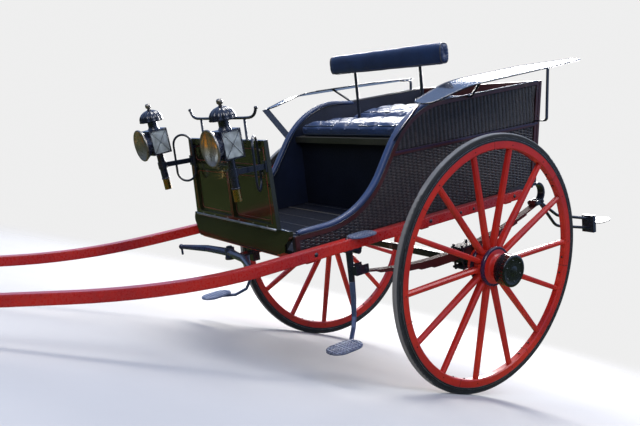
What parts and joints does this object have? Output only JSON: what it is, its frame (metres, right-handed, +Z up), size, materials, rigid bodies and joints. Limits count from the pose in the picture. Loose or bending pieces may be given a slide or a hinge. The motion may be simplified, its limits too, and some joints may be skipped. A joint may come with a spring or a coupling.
{
  "type": "two-wheeled horse cart",
  "caption": "Two-wheeled dog cart with swooping wicker sides, tufted seat, lamps, leaf springs and long red shafts, parked with its shaft tips on the ground",
  "frame": {"origin": "on the ground, below the middle of the whole part", "axes": "+X forward along the shafts, +Y to the cart's left, +Z up"},
  "size_m": [4.0598, 1.725, 1.9679],
  "materials": {
    "red_paint": "gloss coach paint on ash",
    "grey_rubber": "weathered grey rubber",
    "channel_steel": "worn steel channel",
    "blue_black_iron": "gloss blue-black paint on iron",
    "oxblood_iron": "dark red paint on spring steel",
    "dark_wicker": "near-black stained wicker",
    "red_brown_moulding": "varnished red-brown moulding",
    "olive_black_varnish": "gloss olive-black coach varnish",
    "blue_black_leather": "tufted blue-black leather",
    "patent_leather": "black patent leather over iron",
    "lamp_glass": "bevelled clear glass",
    "black_japan": "black japanned tin",
    "step_steel": "ribbed bright steel",
    "floor_board": "oiled floor boards",
    "dark_blue_paint": "dark blue paint on ash"
  },
  "bodies": {
    "carriage": {"axle": "blue_black_iron", "spring_left": "oxblood_iron", "shaft_left": "red_paint", "side_panel_left": "dark_wicker", "side_frame_left": "red_brown_moulding", "edge_roll_left": "blue_black_leather", "wing_left": "patent_leather", "wing_stays_left": "blue_black_iron", "lamp_case_left": "black_japan", "lamp_glass_left": "lamp_glass", "front_step_left": "blue_black_iron", "spring_right": "oxblood_iron", "shaft_right": "red_paint", "side_panel_right": "dark_wicker", "side_frame_right": "red_brown_moulding", "edge_roll_right": "blue_black_leather", "wing_right": "patent_leather", "wing_stays_right": "blue_black_iron", "lamp_case_right": "black_japan", "lamp_glass_right": "lamp_glass", "front_step_right": "blue_black_iron", "axle_clips": "blue_black_iron", "spring_hangers_front": "blue_black_iron", "spring_hangers_rear": "blue_black_iron", "crossbars": "red_paint", "floor": "floor_board", "toe_board": "red_paint", "dashboard": "olive_black_varnish", "rein_rail": "blue_black_iron", "dash_loops": "blue_black_iron", "seat_board": "olive_black_varnish", "heel_board": "olive_black_varnish", "cushion_front": "blue_black_leather", "cushion_rear": "blue_black_leather", "backrest_roll": "blue_black_leather", "backrest_irons": "blue_black_iron", "lamp_brackets": "blue_black_iron", "swingletree_bracket": "blue_black_iron", "shaft_steps": "step_steel", "rear_step": "blue_black_iron", "tail_hinges": "blue_black_iron"},
    "wheel_left": {"wheel_left_tyre": "grey_rubber", "wheel_left_channel": "channel_steel", "wheel_left_felloes": "red_paint", "wheel_left_spokes": "red_paint", "wheel_left_nave": "red_paint", "wheel_left_bands": "blue_black_iron", "wheel_left_cap": "blue_black_iron"},
    "wheel_right": {"wheel_right_tyre": "grey_rubber", "wheel_right_channel": "channel_steel", "wheel_right_felloes": "red_paint", "wheel_right_spokes": "red_paint", "wheel_right_nave": "red_paint", "wheel_right_bands": "blue_black_iron", "wheel_right_cap": "blue_black_iron"},
    "tailboard": {"tailboard": "olive_black_varnish"},
    "swingletree": {"swingletree": "dark_blue_paint"}
  },
  "joints": [
    {"name": "wheel_left_spin", "type": "hinge", "parent": "carriage", "child": "wheel_left", "pos_m": [-0.88801, 0.719, 0.69954], "axis": [-0.0206, 0.9986, -0.0481], "continuous": true},
    {"name": "wheel_right_spin", "type": "hinge", "parent": "carriage", "child": "wheel_right", "pos_m": [-0.88801, -0.719, 0.69954], "axis": [0.0206, 0.9986, 0.0481], "continuous": true},
    {"name": "tailboard_hinge", "type": "hinge", "parent": "carriage", "child": "tailboard", "pos_m": [-1.40356, 0, 1.22288], "axis": [0, -1, 0], "range_deg": [0, 80]},
    {"name": "swingletree_pivot", "type": "hinge", "parent": "carriage", "child": "swingletree", "pos_m": [0.26856, 0, 0.47379], "axis": [0.3938, 0, 0.9192], "range_deg": [-15, 15]}
  ]
}
